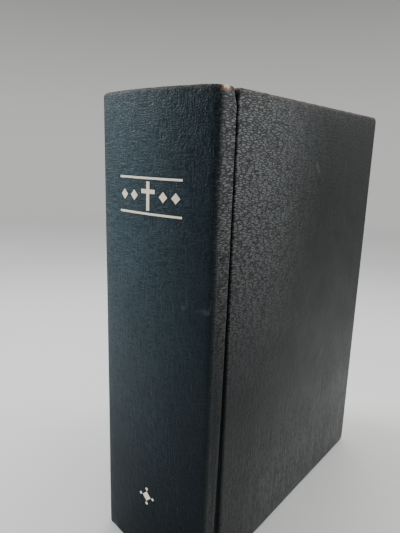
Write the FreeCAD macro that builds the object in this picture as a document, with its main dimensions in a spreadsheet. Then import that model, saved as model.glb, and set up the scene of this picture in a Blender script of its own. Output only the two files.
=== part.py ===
import FreeCAD, Part
import Sketcher
import math
import os
import re

# A thick case-bound bible that stands upright on its tail edge.
# Frame: +Z up the spine, the spine faces -Y, the front cover faces +X, and the fore-edge of
# the leaves faces +Y.  The origin is the middle of the footprint, on the surface below.
# The front half is drawn from the sheet, and each back piece is the mirror image of a front one.

doc = FreeCAD.newDocument("bible")
sheet = doc.addObject("Spreadsheet::Sheet", "dims")

DRIVING_DIMENSIONS = {
    # the closed book
    "book_height": 240,
    "book_thickness": 72,
    "book_depth": 177.5,
    "spine_radius": 146,
    "shoulder_radius": 3.5,
    # the case: leatherette over board, turned in at head, tail and fore-edge
    "skin_thickness": 0.5,
    "board_thickness": 3,
    "inlay_thickness": 1,
    "inlay_half_width": 31,
    "turn_in": 15,
    "cover_corner_radius": 3.5,
    "cover_edge_radius": 1,
    # the joint: the spine wraps round the shoulder, then a band runs on to the crease
    "shoulder_wrap": 3.2,
    "hinge_gap": 0.3,
    "joint_width": 11,
    "crease_width": 1.2,
    "crease_depth": 1.2,
    # the leaves
    "paper_thickness": 0.2,
    "signature_pitch": 2.625,
    "signature_gap": 0.04,
    "fold_thickness": 1.2,
    "fold_taper": 22,
    "leaf_width": 167,
    "square_width": 3.5,
    # the back of the sewn block, from the hollow inwards
    "hollow_gap": 0.3,
    "lining_thickness": 0.25,
    "lining_half_width": 30,
    "mull_thickness": 0.3,
    "mull_margin": 20,
    "mull_flange_width": 25,
    "mull_flange_thickness": 0.2,
    "thread_diameter": 0.44,
    "thread_clearance": 0.05,
    "thread_first_station": 28,
    "thread_station_pitch": 36.8,
    "band_bead_diameter": 2.2,
    "band_tail_length": 8,
    "band_cloth_thickness": 0.3,
    # gold foil on the spine
    "foil_thickness": 0.1,
    "title_height": 193.5,
    "title_width": 39,
    "title_rule": 1,
    "title_rule_spacing": 16,
    "cross_height": 13,
    "cross_width": 8.4,
    "cross_bar": 1.9,
    "cross_arm_drop": 4.4,
    "lozenge_side": 3.4,
    "lozenge_pitch": 7,
    "foot_mark_height": 37,
    "foot_lozenge_side": 4,
    "foot_dot_side": 1.4,
    "foot_dot_distance": 4.25,
}
SIGNATURES_PER_HALF = 12
THREAD_STATIONS = 6

for row, (alias, value) in enumerate(DRIVING_DIMENSIONS.items(), start=1):
    sheet.set(f"A{row}", alias)
    sheet.set(f"B{row}", str(value))
    sheet.setAlias(f"B{row}", alias)
doc.recompute()


def expression(text):
    """Point every dimension's name in text at its cell; each such name holds an underscore."""
    return re.sub(r"[a-z]+(_[a-z]+)+", lambda name: "dims." + name.group(), text)


def evaluate(text):
    return float(sheet.evalExpression(expression(text)))


def bind(target, **properties):
    """Bind properties to expressions over the sheet; a double underscore stands for a dot."""
    for name, text in properties.items():
        target.setExpression(name.replace("__", "."), expression(text))


def place(target, x="0", y="0", z="0"):
    bind(target, Placement__Base__x=x, Placement__Base__y=y, Placement__Base__z=z)


# Places that several pieces share, written as expressions.
SPINE_CENTRE = "(spine_radius + foil_thickness - book_depth / 2)"
SHOULDER = f"({SPINE_CENTRE} - sqrt(spine_radius ^ 2 - (book_thickness / 2) ^ 2))"
WRAP_END = f"({SHOULDER} + shoulder_wrap)"
CREASE = f"({SHOULDER} + joint_width)"
BOARD_EDGE = f"({CREASE} + crease_width + skin_thickness)"
BOARD_DEPTH = f"(book_depth / 2 - skin_thickness - {BOARD_EDGE})"
BOARD_INNER_FACE = "(book_thickness / 2 - skin_thickness - board_thickness)"
TURN_IN_FACE = f"({BOARD_INNER_FACE} - skin_thickness)"
COVER_THICKNESS = "(board_thickness + 2 * skin_thickness)"
LINING_RADIUS = "(spine_radius - 2 * skin_thickness - inlay_thickness - hollow_gap)"
MULL_RADIUS = f"({LINING_RADIUS} - lining_thickness)"
THREAD_OUTER_RADIUS = f"({MULL_RADIUS} - mull_thickness - thread_clearance)"
FOLD_RADIUS = f"({THREAD_OUTER_RADIUS} - thread_diameter - thread_clearance)"
BLOCK_HEIGHT = "(book_height - 2 * square_width)"
SIGNATURE_THICKNESS = "(signature_pitch - signature_gap)"
BLOCK_HALF_THICKNESS = f"({SIGNATURES_PER_HALF} * signature_pitch)"
FACING_MINUS_Y = 270

exported = []


def keep(piece, label):
    """Name a finished piece, which then gets a file of its own."""
    piece.Label = label
    exported.append(piece)
    return piece


# ---------------------------------------------------------------- sketch and feature helpers

def add_body(name):
    return doc.addObject("PartDesign::Body", name)


def add_sketch(body, role, raised="0"):
    """A sketch on one of the body's own origin planes, raised along that plane's normal."""
    sketch = body.newObject("Sketcher::SketchObject", body.Name + "_outline")
    plane = next(item for item in body.Origin.OriginFeatures if item.Role == role)
    sketch.AttachmentSupport = [(plane, "")]
    sketch.MapMode = "FlatFace"
    bind(sketch, AttachmentOffset__Base__z=raised)
    return sketch


def constrain(sketch, kind, *geometry, size=None):
    """Add a constraint, and bind its size to the sheet where it has one."""
    if size is None:
        sketch.addConstraint(Sketcher.Constraint(kind, *geometry))
        return
    index = sketch.addConstraint(Sketcher.Constraint(kind, *geometry, evaluate(size)))
    sketch.setExpression(f"Constraints[{index}]", expression(size))


def point(across, up):
    return FreeCAD.Vector(across, up, 0)


def half_round_fold(radius):
    """The lower half of a circle about the sketch's origin."""
    circle = Part.Circle(point(0, 0), FreeCAD.Vector(0, 0, 1), radius)
    return Part.ArcOfCircle(circle, math.pi, 2 * math.pi)


def draw_rectangle(sketch, width, height, left="0", bottom="0"):
    """A rectangle whose lower left corner is left and bottom away from the sketch's origin."""
    x0, y0 = evaluate(left), evaluate(bottom)
    x1, y1 = x0 + evaluate(width), y0 + evaluate(height)
    corners = [point(x0, y0), point(x1, y0), point(x1, y1), point(x0, y1)]
    first = sketch.GeometryCount
    for number, corner in enumerate(corners):
        sketch.addGeometry(Part.LineSegment(corner, corners[(number + 1) % 4]), False)
    for number in range(4):
        constrain(sketch, "Coincident", first + number, 2, first + (number + 1) % 4, 1)
    constrain(sketch, "Horizontal", first)
    constrain(sketch, "Vertical", first + 1)
    constrain(sketch, "Horizontal", first + 2)
    constrain(sketch, "Vertical", first + 3)
    constrain(sketch, "DistanceX", first, 1, first, 2, size=width)
    constrain(sketch, "DistanceY", first + 1, 1, first + 1, 2, size=height)
    if left == "0" and bottom == "0":
        constrain(sketch, "Coincident", first, 1, -1, 1)
    elif left == "0":
        constrain(sketch, "PointOnObject", first, 1, -2)
        constrain(sketch, "DistanceY", -1, 1, first, 1, size=bottom)
    else:
        constrain(sketch, "DistanceX", -1, 1, first, 1, size=left)
        constrain(sketch, "DistanceY", -1, 1, first, 1, size=bottom)


def draw_sheet(sketch, thickness, width):
    """A long thin outline along +Y with a half-round fold, centred on the origin, at its foot."""
    radius = evaluate(thickness) / 2
    end = evaluate(width) - radius
    fold, right, end_line, left = range(4)
    sketch.addGeometry(half_round_fold(radius), False)
    sketch.addGeometry(Part.LineSegment(point(radius, 0), point(radius, end)), False)
    sketch.addGeometry(Part.LineSegment(point(radius, end), point(-radius, end)), False)
    sketch.addGeometry(Part.LineSegment(point(-radius, end), point(-radius, 0)), False)
    constrain(sketch, "Coincident", fold, 3, -1, 1)
    constrain(sketch, "Tangent", fold, 2, right, 1)
    constrain(sketch, "Coincident", right, 2, end_line, 1)
    constrain(sketch, "Coincident", end_line, 2, left, 1)
    constrain(sketch, "Tangent", left, 2, fold, 1)
    constrain(sketch, "Vertical", right)
    constrain(sketch, "Horizontal", end_line)
    constrain(sketch, "Radius", fold, size=f"{thickness} / 2")
    constrain(sketch, "DistanceY", right, 1, right, 2, size=f"{width} - {thickness} / 2")


def draw_section(sketch):
    """A sewn section seen from its head: pressed thin at the fold, full thickness further out."""
    radius = evaluate("fold_thickness / 2")
    half = evaluate(f"{SIGNATURE_THICKNESS} / 2")
    taper = evaluate("fold_taper")
    end = evaluate("leaf_width - fold_thickness / 2")
    corners = [point(radius, 0), point(half, taper), point(half, end),
               point(-half, end), point(-half, taper), point(-radius, 0)]
    sketch.addGeometry(half_round_fold(radius), False)
    for start, finish in zip(corners, corners[1:]):
        sketch.addGeometry(Part.LineSegment(start, finish), False)
    fold, right_taper, right, end_line, left, left_taper = range(6)
    constrain(sketch, "Coincident", fold, 3, -1, 1)
    constrain(sketch, "Radius", fold, size="fold_thickness / 2")
    constrain(sketch, "PointOnObject", fold, 1, -1)
    constrain(sketch, "PointOnObject", fold, 2, -1)
    for before, after in ((fold, right_taper), (right_taper, right), (right, end_line),
                          (end_line, left), (left, left_taper), (left_taper, fold)):
        constrain(sketch, "Coincident", before, 2, after, 1)
    constrain(sketch, "Vertical", right)
    constrain(sketch, "Vertical", left)
    constrain(sketch, "Horizontal", right_taper, 2, left, 2)
    constrain(sketch, "Symmetric", end_line, 1, end_line, 2, -2)
    constrain(sketch, "DistanceX", end_line, 2, end_line, 1, size=SIGNATURE_THICKNESS)
    constrain(sketch, "DistanceY", -1, 1, right_taper, 2, size="fold_taper")
    constrain(sketch, "DistanceY", -1, 1, end_line, 1, size="leaf_width - fold_thickness / 2")


def draw_spine_wrap(sketch, inset):
    """The outline of the spine with its joint bands, an even inset inside the outer face.

    The sketch's origin is midway between the two long edges of the wrap.  From each of those
    the outline runs round the shoulder and over the slightly rounded spine.
    """
    half = evaluate(f"book_thickness / 2 - {inset}")
    spine = evaluate(f"spine_radius - {inset}")
    shoulder = evaluate(f"shoulder_radius - {inset}")
    centre_y = evaluate(f"{SPINE_CENTRE} - {WRAP_END}")
    across = half - shoulder
    shoulder_y = centre_y - ((spine - shoulder) ** 2 - across ** 2) ** 0.5
    axis = FreeCAD.Vector(0, 0, 1)
    tangent_angle = FreeCAD.Vector(across, shoulder_y - centre_y, 0).getAngle(FreeCAD.Vector(1, 0, 0))
    spine_circle = Part.Circle(point(0, centre_y), axis, spine)
    right_circle = Part.Circle(point(across, shoulder_y), axis, shoulder)
    left_circle = Part.Circle(point(-across, shoulder_y), axis, shoulder)
    sketch_first = sketch.GeometryCount
    spine_arc, right_arc, right_line, end_line, left_line, left_arc = range(
        sketch_first, sketch_first + 6)
    sketch.addGeometry(Part.ArcOfCircle(
        spine_circle, math.pi + tangent_angle, 2 * math.pi - tangent_angle), False)
    sketch.addGeometry(Part.ArcOfCircle(right_circle, 2 * math.pi - tangent_angle, 2 * math.pi), False)
    sketch.addGeometry(Part.LineSegment(point(half, shoulder_y), point(half, 0)), False)
    sketch.addGeometry(Part.LineSegment(point(half, 0), point(-half, 0)), False)
    sketch.addGeometry(Part.LineSegment(point(-half, 0), point(-half, shoulder_y)), False)
    sketch.addGeometry(Part.ArcOfCircle(left_circle, math.pi, math.pi + tangent_angle), False)
    constrain(sketch, "Tangent", spine_arc, 2, right_arc, 1)
    constrain(sketch, "Tangent", right_arc, 2, right_line, 1)
    constrain(sketch, "Coincident", right_line, 2, end_line, 1)
    constrain(sketch, "Coincident", end_line, 2, left_line, 1)
    constrain(sketch, "Tangent", left_line, 2, left_arc, 1)
    constrain(sketch, "Tangent", left_arc, 2, spine_arc, 1)
    constrain(sketch, "Vertical", right_line)
    constrain(sketch, "Vertical", left_line)
    constrain(sketch, "PointOnObject", right_line, 2, -1)
    constrain(sketch, "Symmetric", end_line, 1, end_line, 2, -1, 1)
    constrain(sketch, "DistanceX", end_line, 2, end_line, 1, size=f"book_thickness - 2 * {inset}")
    constrain(sketch, "Radius", spine_arc, size=f"spine_radius - {inset}")
    constrain(sketch, "Radius", right_arc, size=f"shoulder_radius - {inset}")
    constrain(sketch, "Equal", right_arc, left_arc)
    constrain(sketch, "DistanceY", -1, 1, spine_arc, 3, size=f"{SPINE_CENTRE} - {WRAP_END}")


def add_pad(body, sketch, length):
    pad = body.newObject("PartDesign::Pad", body.Name + "_pad")
    pad.Profile = sketch
    bind(pad, Length=length)
    doc.recompute()
    return pad


def add_pocket(body, sketch, length):
    """Cut the sketch away along its own plane's normal, and make sure that something went."""
    before = body.Shape.Volume
    pocket = body.newObject("PartDesign::Pocket", body.Name + "_pocket")
    pocket.Profile = sketch
    pocket.Reversed = True
    bind(pocket, Length=length)
    doc.recompute()
    if body.Shape.Volume > before - 1e-3:
        raise RuntimeError(pocket.Name + " cuts nothing")
    return pocket


def edges_where(shape, test):
    """The names of the straight edges whose two ends both pass the test."""
    return [f"Edge{number}" for number, edge in enumerate(shape.Edges, start=1)
            if len(edge.Vertexes) == 2 and all(test(vertex.Point) for vertex in edge.Vertexes)]


def add_fillet(body, feature, edges, radius):
    fillet = body.newObject("PartDesign::Fillet", body.Name + "_fillet")
    fillet.Base = (feature, edges)
    bind(fillet, Radius=radius)
    doc.recompute()
    return fillet


def near(value, target):
    return abs(value - target) < 1e-4


# ---------------------------------------------------------------- covers

def make_board():
    """The bookbinder's board: a flat sheet with its two fore-edge corners rounded a little."""
    body = add_body("front_board")
    sketch = add_sketch(body, "YZ_Plane")
    draw_rectangle(sketch, BOARD_DEPTH, "book_height - 2 * skin_thickness")
    pad = add_pad(body, sketch, "board_thickness")
    depth = evaluate(BOARD_DEPTH)
    thickness = evaluate("board_thickness")
    corners = [name for name in edges_where(pad.Shape, lambda at: near(at.y, depth))
               if near(pad.Shape.getElement(name).Length, thickness)]
    add_fillet(body, pad, corners, "cover_corner_radius - skin_thickness")
    place(body, BOARD_INNER_FACE, BOARD_EDGE, "skin_thickness")
    return keep(body, "front_board")


def make_cover_leatherette(board):
    """Leatherette round the board: outer face, three edges, and a turned-in border inside."""
    blank = add_body("front_cover_blank")
    sketch = add_sketch(blank, "YZ_Plane")
    draw_rectangle(sketch, f"{BOARD_DEPTH} + skin_thickness", "book_height")
    pad = add_pad(blank, sketch, COVER_THICKNESS)
    depth = evaluate(f"{BOARD_DEPTH} + skin_thickness")
    thickness = evaluate(COVER_THICKNESS)
    corners = [name for name in edges_where(pad.Shape, lambda at: near(at.y, depth))
               if near(pad.Shape.getElement(name).Length, thickness)]
    rounded = add_fillet(blank, pad, corners, "cover_corner_radius")
    rim = [name for name in edges_where(rounded.Shape, lambda at: near(at.x, thickness))
           if not all(near(vertex.Point.y, 0) for vertex in rounded.Shape.getElement(name).Vertexes)]
    add_fillet(blank, rounded, rim, "cover_edge_radius")
    window = add_sketch(blank, "YZ_Plane")
    draw_rectangle(window, f"{BOARD_DEPTH} + skin_thickness - turn_in",
                   "book_height - 2 * turn_in", bottom="turn_in")
    add_pocket(blank, window, "skin_thickness")
    place(blank, TURN_IN_FACE, BOARD_EDGE)
    board_wrap = doc.addObject("Part::Cut", "front_board_wrap")
    board_wrap.Base = blank
    board_wrap.Tool = board
    skin = doc.addObject("Part::MultiFuse", "front_cover_skin")
    skin.Shapes = [board_wrap] + make_joint_band()
    return keep(skin, "front_cover_leatherette")


def make_joint_band():
    """Strips of leatherette from the spine's edge, down into the crease and up to the board."""
    outer = "(book_thickness / 2 - skin_thickness)"
    crease_floor = f"({outer} - crease_depth)"
    band_start = f"({WRAP_END} + hinge_gap)"
    wall_height = "(crease_depth + skin_thickness)"
    strips = {
        "band": (outer, band_start, "skin_thickness", f"{CREASE} - {band_start}"),
        "crease_near_wall": (crease_floor, f"({CREASE} - skin_thickness)", wall_height,
                             "skin_thickness"),
        "crease_floor": (crease_floor, CREASE, "skin_thickness", "crease_width"),
        "crease_far_wall": (crease_floor, f"({CREASE} + crease_width)", wall_height,
                            "skin_thickness"),
    }
    boxes = []
    for name, (inner_face, start, thickness, width) in strips.items():
        boxes.append(make_strip("joint_" + name, inner_face, start, thickness, width, "0",
                                "book_height"))
    for name, low in (("tail", "0"), ("head", "(book_height - turn_in)")):
        boxes.append(make_strip("joint_turn_in_" + name, f"({outer} - skin_thickness)", band_start,
                                "skin_thickness", f"{CREASE} - {band_start}", low, "turn_in"))
    return boxes


def make_strip(name, inner_face, start, thickness, width, low, height):
    strip = doc.addObject("Part::Box", name)
    bind(strip, Length=thickness, Width=width, Height=height)
    place(strip, inner_face, start, low)
    return strip


def make_pastedown():
    """The endpaper glued inside the cover, stepping down from the turned-in border to the board."""
    body = add_body("front_pastedown")
    step = "(skin_thickness - mull_flange_thickness)"
    sheet_outline = add_sketch(body, "YZ_Plane")
    draw_rectangle(sheet_outline, f"{BOARD_DEPTH} + skin_thickness - square_width",
                   BLOCK_HEIGHT, bottom="square_width")
    add_pad(body, sheet_outline, "paper_thickness")
    window = add_sketch(body, "YZ_Plane", "paper_thickness")
    draw_rectangle(window, f"{BOARD_DEPTH} + skin_thickness - turn_in",
                   "book_height - 2 * turn_in", bottom="turn_in")
    add_pad(body, window, step)
    hollow = add_sketch(body, "YZ_Plane")
    draw_rectangle(hollow, f"{BOARD_DEPTH} + skin_thickness - turn_in - paper_thickness",
                   "book_height - 2 * turn_in - 2 * paper_thickness",
                   bottom="turn_in + paper_thickness")
    add_pocket(body, hollow, step)
    place(body, f"{TURN_IN_FACE} - paper_thickness", BOARD_EDGE)
    return keep(body, "front_pastedown")


def make_mull_flange():
    """The wing of the spine's open-weave cloth that is glued to the board under the endpaper."""
    flange = doc.addObject("Part::Box", "front_mull_flange")
    bind(flange, Length="mull_flange_thickness", Width="mull_flange_width",
         Height="book_height - 2 * mull_margin")
    place(flange, f"{BOARD_INNER_FACE} - mull_flange_thickness", BOARD_EDGE, "mull_margin")
    return keep(flange, "front_mull_flange")


# ---------------------------------------------------------------- leaves

def fold_place(centre_x, thickness):
    """Where a fold's centre lies so that the back of the fold follows the rounded spine."""
    return f"{SPINE_CENTRE} - sqrt({FOLD_RADIUS} ^ 2 - ({centre_x}) ^ 2) + {thickness} / 2"


def make_flyleaf():
    """The free endpaper, which turns about its own fold beside the first section."""
    body = add_body("front_flyleaf")
    sketch = add_sketch(body, "XY_Plane")
    draw_sheet(sketch, "paper_thickness", "leaf_width")
    add_pad(body, sketch, BLOCK_HEIGHT)
    centre_x = f"({BLOCK_HALF_THICKNESS} + signature_gap + paper_thickness / 2)"
    place(body, centre_x, fold_place(centre_x, "fold_thickness"), "square_width")
    return keep(body, "front_flyleaf")


def make_section(number):
    """One sewn section; number 1 is the outermost, and each stands on its own place on the spine."""
    label = f"signature_{number:02d}"
    body = add_body(label)
    sketch = add_sketch(body, "XY_Plane")
    draw_section(sketch)
    add_pad(body, sketch, BLOCK_HEIGHT)
    centre_x = f"({SIGNATURES_PER_HALF - number} + 0.5) * signature_pitch"
    place(body, centre_x, fold_place(centre_x, "fold_thickness"), "square_width")
    return keep(body, label)


# ---------------------------------------------------------------- spine

def make_spine_leatherette():
    """Leatherette over the spine and its shoulders, turned in over the inlay at both ends."""
    body = add_body("spine_leatherette")
    inlay_inside = "(skin_thickness + inlay_thickness)"
    turned_inside = "(2 * skin_thickness + inlay_thickness)"
    outside = add_sketch(body, "XY_Plane")
    draw_spine_wrap(outside, "0")
    add_pad(body, outside, "book_height")
    room_for_inlay = add_sketch(body, "XY_Plane", "skin_thickness")
    draw_spine_wrap(room_for_inlay, "skin_thickness")
    add_pocket(body, room_for_inlay, "book_height - 2 * skin_thickness")
    for low in ("0", "book_height - turn_in"):
        turned = add_sketch(body, "XY_Plane", low)
        draw_spine_wrap(turned, inlay_inside)
        add_pad(body, turned, "turn_in")
    hollow = add_sketch(body, "XY_Plane")
    draw_spine_wrap(hollow, turned_inside)
    add_pocket(body, hollow, "book_height")
    place(body, "0", WRAP_END)
    return keep(body, "spine_leatherette")


def face_outwards(sector, half_angle, height):
    """Stand a sector on the spine's centre and turn it about +Z until its middle faces -Y."""
    sector.Placement.Rotation = FreeCAD.Rotation(FreeCAD.Vector(0, 0, 1), FACING_MINUS_Y)
    bind(sector, Placement__Rotation__Angle=f"{FACING_MINUS_Y} - {half_angle} / 1 deg")
    place(sector, "0", SPINE_CENTRE, height)


def make_sector(name, radius, half_width, low, high):
    """A wedge of a cylinder about the spine's centre, facing -Y and as wide as twice half_width."""
    wedge = doc.addObject("Part::Cylinder", name)
    half_angle = f"asin({half_width} / {radius})"
    bind(wedge, Radius=radius, Height=f"{high} - ({low})", Angle=f"2 * {half_angle}")
    face_outwards(wedge, half_angle, low)
    return wedge


def make_curved_strip(name, radius, thickness, half_width, low, high):
    """A strip that follows the rounded spine, with its outer face at the given radius."""
    strip = doc.addObject("Part::Cut", name)
    strip.Base = make_sector(name + "_outside", radius, half_width, low, high)
    core = doc.addObject("Part::Cylinder", name + "_core")
    bind(core, Radius=f"{radius} - {thickness}", Height=f"{high} - ({low})")
    place(core, "0", SPINE_CENTRE, low)
    strip.Tool = core
    return strip


def make_curved_cord(name, outer_radius, diameter, half_width, height):
    """A round cord that follows the rounded spine at one height."""
    cord = doc.addObject("Part::Torus", name)
    middle = f"({outer_radius} - {diameter} / 2)"
    half_angle = f"asin({half_width} / {middle})"
    bind(cord, Radius1=middle, Radius2=f"{diameter} / 2", Angle3=f"2 * {half_angle}")
    face_outwards(cord, half_angle, height)
    return cord


def make_spine_linings():
    keep(make_curved_strip("spine_inlay", "(spine_radius - skin_thickness)", "inlay_thickness",
                           "inlay_half_width", "skin_thickness", "book_height - skin_thickness"),
         "spine_inlay")
    keep(make_curved_strip("spine_lining", LINING_RADIUS, "lining_thickness", "lining_half_width",
                           "2 * square_width", "book_height - 2 * square_width"),
         "spine_lining")
    keep(make_curved_strip("mull", MULL_RADIUS, "mull_thickness", "lining_half_width",
                           "mull_margin", "book_height - mull_margin"),
         "mull")


def make_sewing_thread():
    """One thread crosses the folds at each sewing station, from kettle stitch to kettle stitch."""
    stitches = []
    for station in range(THREAD_STATIONS):
        stitches.append(make_curved_cord(
            f"thread_station_{station + 1}", THREAD_OUTER_RADIUS, "thread_diameter",
            "lining_half_width", f"thread_first_station + {station} * thread_station_pitch"))
    thread = doc.addObject("Part::Compound", "sewing_thread")
    thread.Links = stitches
    return keep(thread, "sewing_thread")


def make_end_band(label, bead_height, cloth_low, cloth_high):
    """A corded band at one end of the block, with its cloth tail glued to the folds."""
    band = doc.addObject("Part::Fuse", label)
    band.Base = make_curved_cord(label + "_bead", THREAD_OUTER_RADIUS, "band_bead_diameter",
                                 "lining_half_width", bead_height)
    band.Tool = make_curved_strip(label + "_cloth", THREAD_OUTER_RADIUS, "band_cloth_thickness",
                                  "lining_half_width", cloth_low, cloth_high)
    return keep(band, label)


def make_end_bands():
    clear_of_leaves = "(square_width - band_bead_diameter / 2 - thread_clearance)"
    make_end_band("tailband", clear_of_leaves, clear_of_leaves, "square_width + band_tail_length")
    make_end_band("headband", f"book_height - {clear_of_leaves}",
                  "book_height - square_width - band_tail_length", f"book_height - {clear_of_leaves}")


# ---------------------------------------------------------------- foil ornaments

def make_foil_bar(name, width, height, centre_x, centre_z, turned=0):
    """A bar that runs through the spine's face; turned by 45 degrees it marks out a lozenge."""
    bar = doc.addObject("Part::Box", name)
    bind(bar, Length=width, Width="book_thickness", Height=height)
    bar.Placement.Rotation = FreeCAD.Rotation(FreeCAD.Vector(0, 1, 0), turned)
    along = f"{width} * cos({turned}) / 2 + {height} * sin({turned}) / 2"
    upward = f"{height} * cos({turned}) / 2 - {width} * sin({turned}) / 2"
    place(bar, f"{centre_x} - ({along})", "-book_depth / 2 - book_thickness / 2",
          f"{centre_z} - ({upward})")
    return bar


def make_foil(label, bars, centre_z, half_height, half_width):
    """Press the bars into a thin layer on the curved face of the spine."""
    layer = make_curved_strip(label + "_layer", "(spine_radius + foil_thickness)", "foil_thickness",
                              half_width, f"{centre_z} - {half_height}", f"{centre_z} + {half_height}")
    pattern = doc.addObject("Part::MultiFuse", label + "_pattern")
    pattern.Shapes = bars
    foil = doc.addObject("Part::Common", label)
    foil.Base = pattern
    foil.Tool = layer
    return keep(foil, label)


def make_title_ornament():
    """A Latin cross with two lozenges on each side, between two rules."""
    bars = [
        make_foil_bar("cross_upright", "cross_bar", "cross_height", "0", "title_height"),
        make_foil_bar("cross_arms", "cross_width", "cross_bar", "0",
                      "(title_height + cross_height / 2 - cross_arm_drop)"),
    ]
    for name, sign in (("upper_rule", "+"), ("lower_rule", "-")):
        bars.append(make_foil_bar(name, "title_width", "title_rule", "0",
                                  f"(title_height {sign} title_rule_spacing / 2)"))
    for number in (-2, -1, 1, 2):
        offset = f"(cross_width / 4 * {number // abs(number)} + {number} * lozenge_pitch)"
        bars.append(make_foil_bar(f"title_lozenge_{number + 3}", "lozenge_side", "lozenge_side",
                                  offset, "title_height", turned=45))
    return make_foil("title_ornament", bars, "title_height", "title_rule_spacing", "title_width / 2")


def make_foot_ornament():
    """A lozenge with a dot at each of its four points."""
    bars = [make_foil_bar("foot_lozenge", "foot_lozenge_side", "foot_lozenge_side", "0",
                          "foot_mark_height", turned=45)]
    for number, (across, up) in enumerate(((1, 0), (0, 1), (-1, 0), (0, -1)), start=1):
        bars.append(make_foil_bar(f"foot_dot_{number}", "foot_dot_side", "foot_dot_side",
                                  f"({across} * foot_dot_distance)",
                                  f"(foot_mark_height + {up} * foot_dot_distance)", turned=45))
    return make_foil("foot_ornament", bars, "foot_mark_height", "2 * foot_dot_distance",
                     "2 * foot_dot_distance")


# ---------------------------------------------------------------- back half

def mirror_to_back(piece, label):
    """The same piece on the other side of the book's middle plane."""
    mirror = doc.addObject("Part::Mirroring", label)
    mirror.Source = piece
    mirror.Base = FreeCAD.Vector(0, 0, 0)
    mirror.Normal = FreeCAD.Vector(1, 0, 0)
    return keep(mirror, label)


# ---------------------------------------------------------------- assembly

front_board = make_board()
front_pieces = [front_board, make_cover_leatherette(front_board), make_pastedown(), make_mull_flange()]
flyleaf = make_flyleaf()
sections = [make_section(number) for number in range(1, SIGNATURES_PER_HALF + 1)]
make_spine_leatherette()
make_spine_linings()
make_sewing_thread()
make_end_bands()
make_title_ornament()
make_foot_ornament()
doc.recompute()

for piece in front_pieces + [flyleaf]:
    mirror_to_back(piece, piece.Label.replace("front", "back"))
for number, piece in enumerate(sections, start=1):
    mirror_to_back(piece, f"signature_{2 * SIGNATURES_PER_HALF + 1 - number:02d}")
doc.recompute()

for item in doc.Objects:
    if "Invalid" in item.State or "Error" in item.State:
        raise RuntimeError(f"{item.Name} failed: {item.State}")
for piece in exported:
    if piece.Shape.isNull() or not piece.Shape.isValid():
        raise RuntimeError(f"{piece.Label} has no valid shape")

os.makedirs("parts", exist_ok=True)
for piece in exported:
    piece.Shape.exportStep(f"parts/{piece.Label}.step")
    box = piece.Shape.BoundBox
    print(f"{piece.Label:26s} volume {piece.Shape.Volume:12.2f}  solids {len(piece.Shape.Solids)}  "
          f"x {box.XMin:8.2f} {box.XMax:8.2f}  y {box.YMin:8.2f} {box.YMax:8.2f}  "
          f"z {box.ZMin:8.2f} {box.ZMax:8.2f}")
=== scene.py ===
"""Looks of a case-bound bible: worn dark leatherette over boards, gold foil, sewn sections of thin leaves.

The leatherette is drawn as one sheet that is laid over the book. Along the sheet, s is the distance
from the middle of the spine (positive over the front cover), z is the height, and depth is how far a
point lies under the sheet's outer face. Every piece is in metres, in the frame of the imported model.
"""

import math

import bpy
import numpy as np
from mathutils import Matrix, Vector, noise


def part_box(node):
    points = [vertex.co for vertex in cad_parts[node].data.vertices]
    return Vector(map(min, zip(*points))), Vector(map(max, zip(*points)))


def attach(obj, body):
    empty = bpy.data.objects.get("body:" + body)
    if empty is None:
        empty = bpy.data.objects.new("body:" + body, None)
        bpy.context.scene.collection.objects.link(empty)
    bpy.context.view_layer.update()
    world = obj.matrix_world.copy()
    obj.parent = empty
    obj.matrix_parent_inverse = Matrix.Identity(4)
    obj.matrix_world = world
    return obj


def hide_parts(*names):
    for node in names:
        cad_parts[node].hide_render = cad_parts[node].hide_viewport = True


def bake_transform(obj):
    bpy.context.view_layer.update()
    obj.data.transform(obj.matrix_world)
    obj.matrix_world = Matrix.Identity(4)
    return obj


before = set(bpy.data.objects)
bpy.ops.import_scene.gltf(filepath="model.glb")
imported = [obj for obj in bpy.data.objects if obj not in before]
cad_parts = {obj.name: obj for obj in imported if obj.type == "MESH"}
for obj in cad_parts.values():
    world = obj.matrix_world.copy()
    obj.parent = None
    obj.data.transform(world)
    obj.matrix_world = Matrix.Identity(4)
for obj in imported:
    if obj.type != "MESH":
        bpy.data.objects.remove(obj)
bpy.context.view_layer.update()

MM = 0.001
FLOOR_RADIUS = 1.6
SIDES = {"front": 1, "back": -1}

# ---------------------------------------------------------------- sizes read from the frame

SPINE_LOW, SPINE_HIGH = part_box("spine_leatherette")
COVER_LOW, COVER_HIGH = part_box("front_cover_leatherette")
BOARD_LOW, BOARD_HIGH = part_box("front_board")
INLAY_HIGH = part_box("spine_inlay")[1]
PASTEDOWN_LOW, PASTEDOWN_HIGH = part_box("front_pastedown")
FLYLEAF_LOW, FLYLEAF_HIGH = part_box("front_flyleaf")

HEIGHT = COVER_HIGH.z
HALF_THICKNESS = COVER_HIGH.x
FORE_EDGE_Y = COVER_HIGH.y
SKIN = HALF_THICKNESS - BOARD_HIGH.x
HINGE_Y = (SPINE_HIGH.y + COVER_LOW.y) / 2
BOARD_EDGE_Y = BOARD_LOW.y
CASE_THICKNESS = HALF_THICKNESS - BOARD_LOW.x + SKIN

SHOULDER_RADIUS = 3.5 * MM
CORNER_RADIUS = 3.5 * MM
TURN_IN = 15 * MM
EDGE_ROUNDING = 1.0 * MM
INLAY = 1.0 * MM
ARC_READ_FROM = 10 * MM
ARC_READ_TO = 30 * MM


def outer_radius():
    """Radius of the spine's outer arc, from the CAD vertices that lie on it."""
    radii = []
    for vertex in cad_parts["spine_leatherette"].data.vertices:
        across = abs(vertex.co.x)
        rise = vertex.co.y - SPINE_LOW.y
        if ARC_READ_FROM < across < ARC_READ_TO and rise > 0:
            radii.append((across ** 2 + rise ** 2) / (2 * rise))
    return max(radii)


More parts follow.
